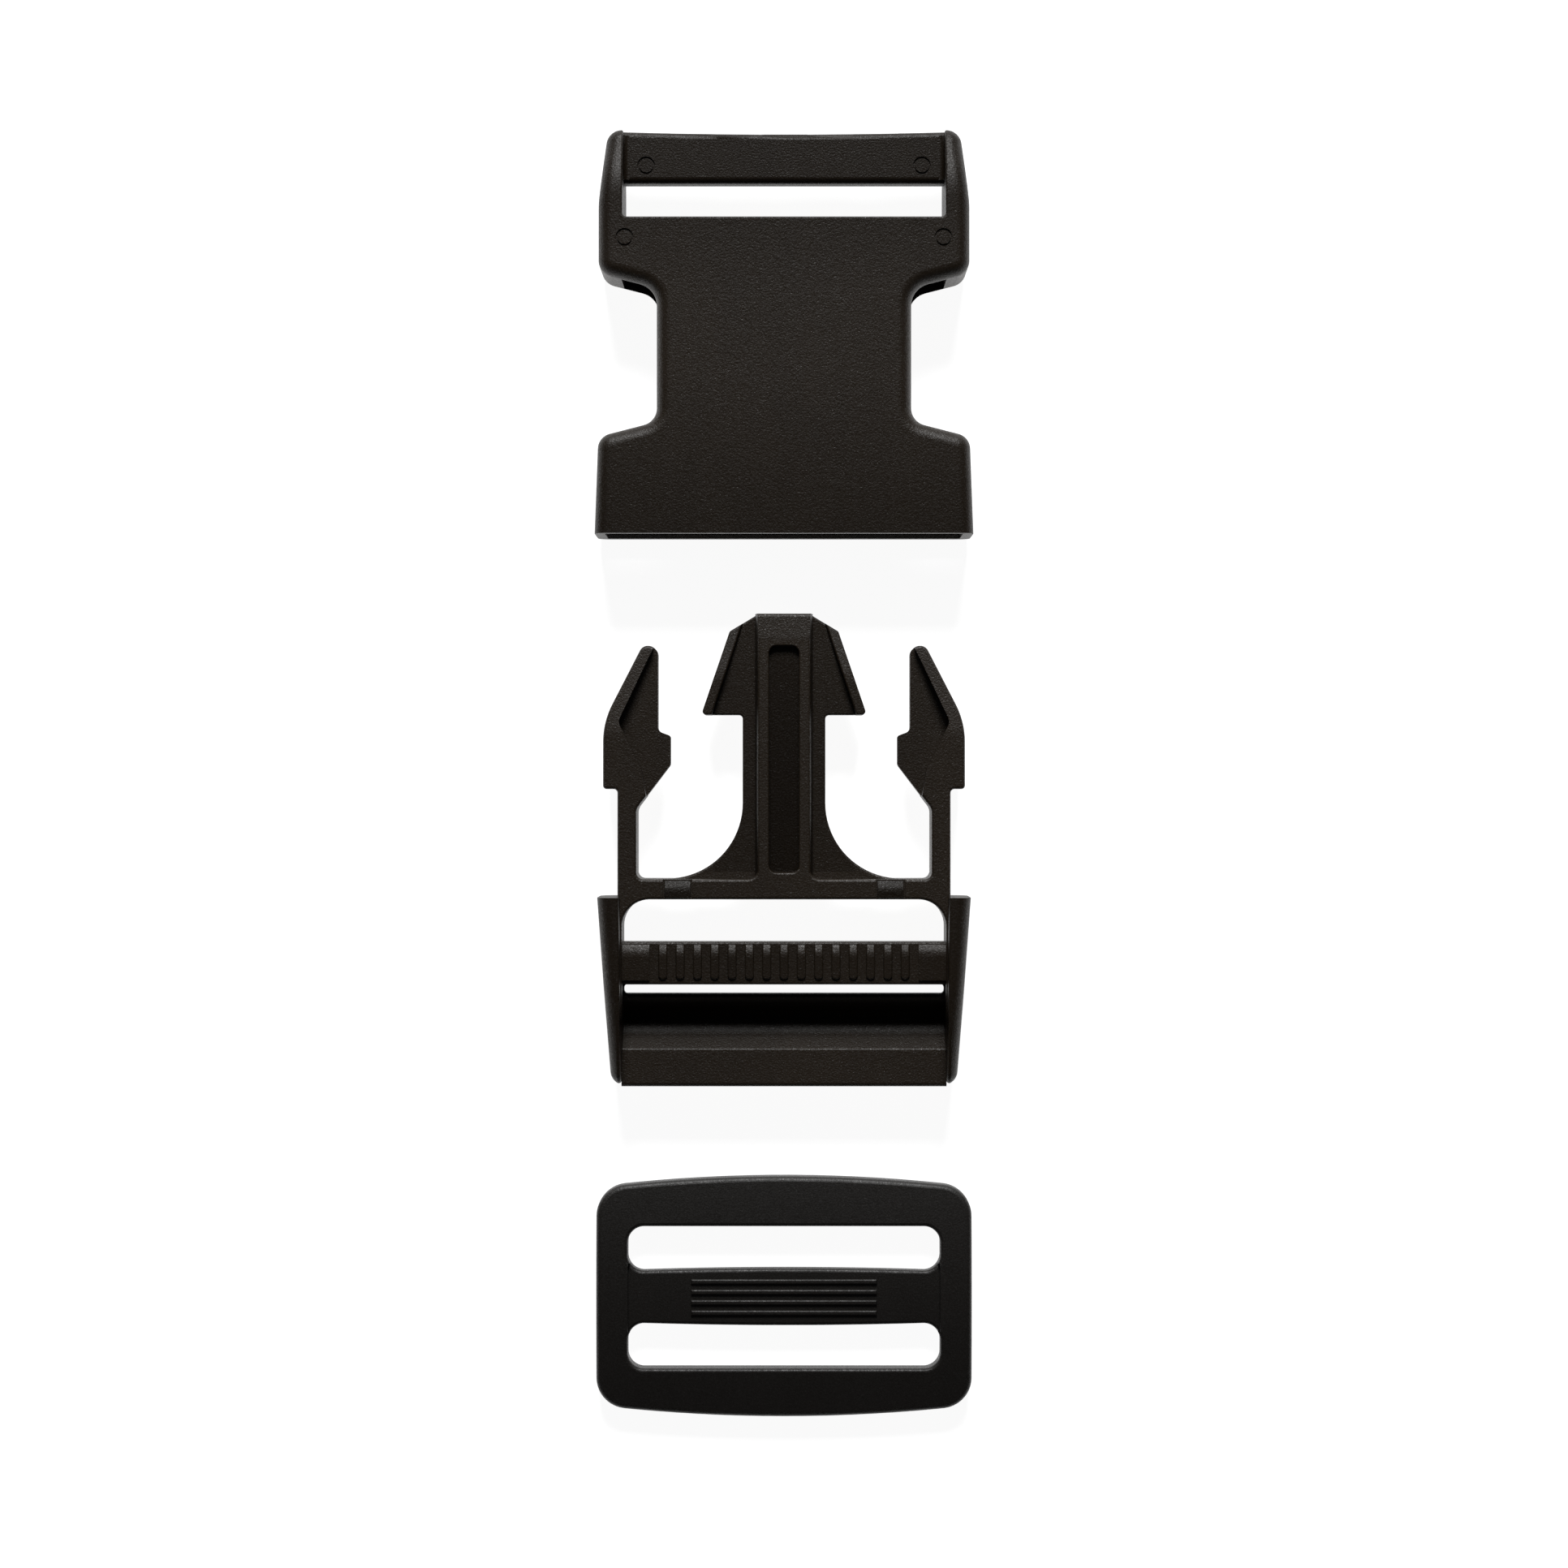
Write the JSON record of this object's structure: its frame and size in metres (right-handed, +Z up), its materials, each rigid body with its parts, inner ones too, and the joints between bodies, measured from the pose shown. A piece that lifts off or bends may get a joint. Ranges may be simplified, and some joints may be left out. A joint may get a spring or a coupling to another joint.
{
  "type": "side release buckle with strap slider",
  "caption": "Side-release webbing buckle, receptacle and plug with sprung latch arms lying open, with its ribbed strap slider, black moulded plastic.",
  "frame": {"origin": "on the table, under the middle of the row of three mouldings", "axes": "+Y along the webbing from the slider to the receptacle, +X across the webbing, +Z up off the table"},
  "size_m": [0.048, 0.164, 0.0112],
  "materials": {
    "receptacle_plastic": "black acetal, fine spark-eroded grain, low sheen",
    "plug_plastic": "black acetal, fine spark-eroded grain, low sheen",
    "slider_plastic": "black acetal, smoother grain, a deeper and cooler black"
  },
  "bodies": {
    "receptacle": {"receptacle": "receptacle_plastic"},
    "plug": {"plug": "plug_plastic"},
    "left_arm": {"left_arm": "plug_plastic"},
    "right_arm": {"right_arm": "plug_plastic"},
    "slider": {"slider": "slider_plastic"}
  },
  "joints": [
    {"name": "plug_insert", "type": "slide", "parent": "receptacle", "child": "plug", "axis": [0, 1, 0], "range_m": [0, 0.0458], "deforming": ["left_arm", "right_arm"]},
    {"name": "left_arm_flex", "type": "hinge", "parent": "plug", "child": "left_arm", "pos_m": [-0.01985, -0.0106, 0.0056], "axis": [0, 0, -1], "range_deg": [0, 11], "stiffness_Nm_per_rad": 1},
    {"name": "right_arm_flex", "type": "hinge", "parent": "plug", "child": "right_arm", "pos_m": [0.01985, -0.0106, 0.0056], "axis": [0, 0, 1], "range_deg": [0, 11], "stiffness_Nm_per_rad": 1},
    {"name": "strap_adjust", "type": "slide", "parent": "plug", "child": "slider", "axis": [0, 1, 0], "range_m": [-0.05, 0.01]}
  ]
}
